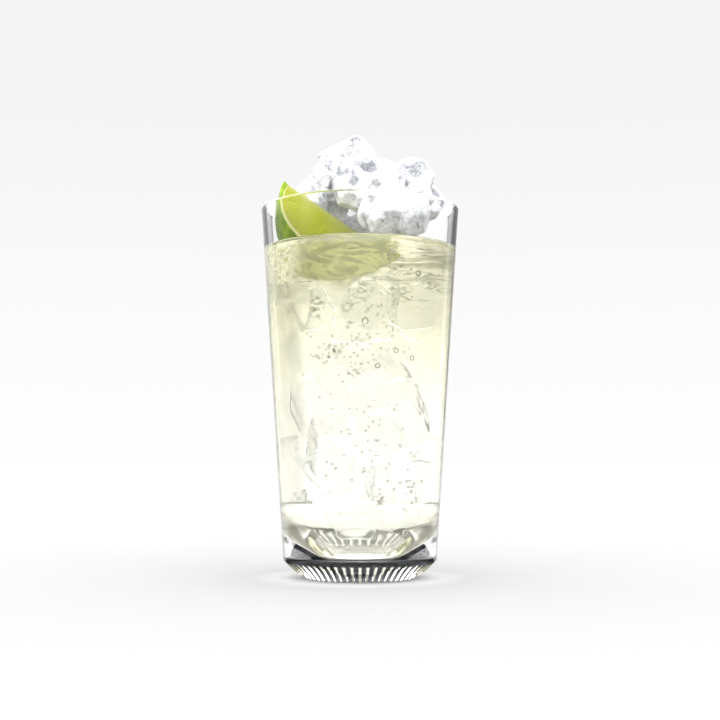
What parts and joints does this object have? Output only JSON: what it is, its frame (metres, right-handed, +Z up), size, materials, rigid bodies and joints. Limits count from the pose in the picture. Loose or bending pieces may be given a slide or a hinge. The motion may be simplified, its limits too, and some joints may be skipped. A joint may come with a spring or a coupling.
{
  "type": "mule cocktail in a tall glass",
  "caption": "Tall tapered glass with a thick base, filled with a pale fizzy ginger drink, a lime wedge and cracked ice heaped above the rim.",
  "frame": {"origin": "middle of the glass's foot, on the surface that it stands on", "axes": "+Z up along the glass's axis, -Y towards the side with the lime's cut face, +X to the right seen from there"},
  "size_m": [0.079, 0.079, 0.1744],
  "materials": {
    "glass": "clear, polished",
    "drink": "pale cloudy liquid",
    "lime": "wet citrus flesh and peel",
    "ice": "wet cracked ice"
  },
  "bodies": {
    "root": {"glass": "glass", "drink": "drink", "lime_wedge": "lime", "ice_heap": "ice"}
  },
  "joints": []
}
